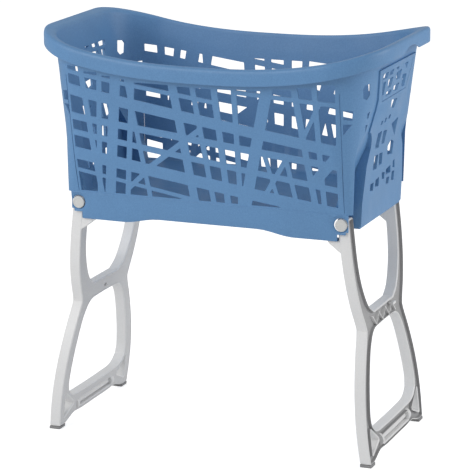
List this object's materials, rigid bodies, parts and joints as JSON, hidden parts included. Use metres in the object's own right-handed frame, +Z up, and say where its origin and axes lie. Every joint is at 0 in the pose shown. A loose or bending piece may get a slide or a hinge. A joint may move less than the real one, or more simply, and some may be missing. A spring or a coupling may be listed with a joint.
{
  "type": "laundry basket on folding legs",
  "caption": "Rectangular plastic laundry basket with lattice walls and a saddle-shaped rim, standing on two splayed leg frames that fold up against its ends.",
  "frame": {"origin": "on the floor, under the middle of the basket, legs down", "axes": "+X along the basket towards its right end, +Y to the back, +Z up"},
  "size_m": [0.665, 0.413, 0.7591],
  "materials": {
    "basket": "satin",
    "leg_plastic": "satin",
    "pin_plastic": "satin",
    "foot_rubber": "matte"
  },
  "bodies": {
    "basket_body": {"basket": "basket", "front_left_pin": "pin_plastic", "front_right_pin": "pin_plastic", "back_left_pin": "pin_plastic", "back_right_pin": "pin_plastic", "front_left_clip": "pin_plastic", "front_right_clip": "pin_plastic", "back_left_clip": "pin_plastic", "back_right_clip": "pin_plastic"},
    "left_leg": {"left_leg_frame": "leg_plastic", "left_grip_bar": "leg_plastic", "left_front_foot_pad": "foot_rubber", "left_back_foot_pad": "foot_rubber"},
    "right_leg": {"right_leg_frame": "leg_plastic", "right_grip_bar": "leg_plastic", "right_front_foot_pad": "foot_rubber", "right_back_foot_pad": "foot_rubber"}
  },
  "joints": [
    {"name": "left_leg_fold", "type": "hinge", "parent": "basket_body", "child": "left_leg", "pos_m": [-0.2537, 0, 0.4405], "axis": [0, 1, 0], "range_deg": [0, 155]},
    {"name": "right_leg_fold", "type": "hinge", "parent": "basket_body", "child": "right_leg", "pos_m": [0.2537, 0, 0.4405], "axis": [0, -1, 0], "range_deg": [0, 155]}
  ]
}
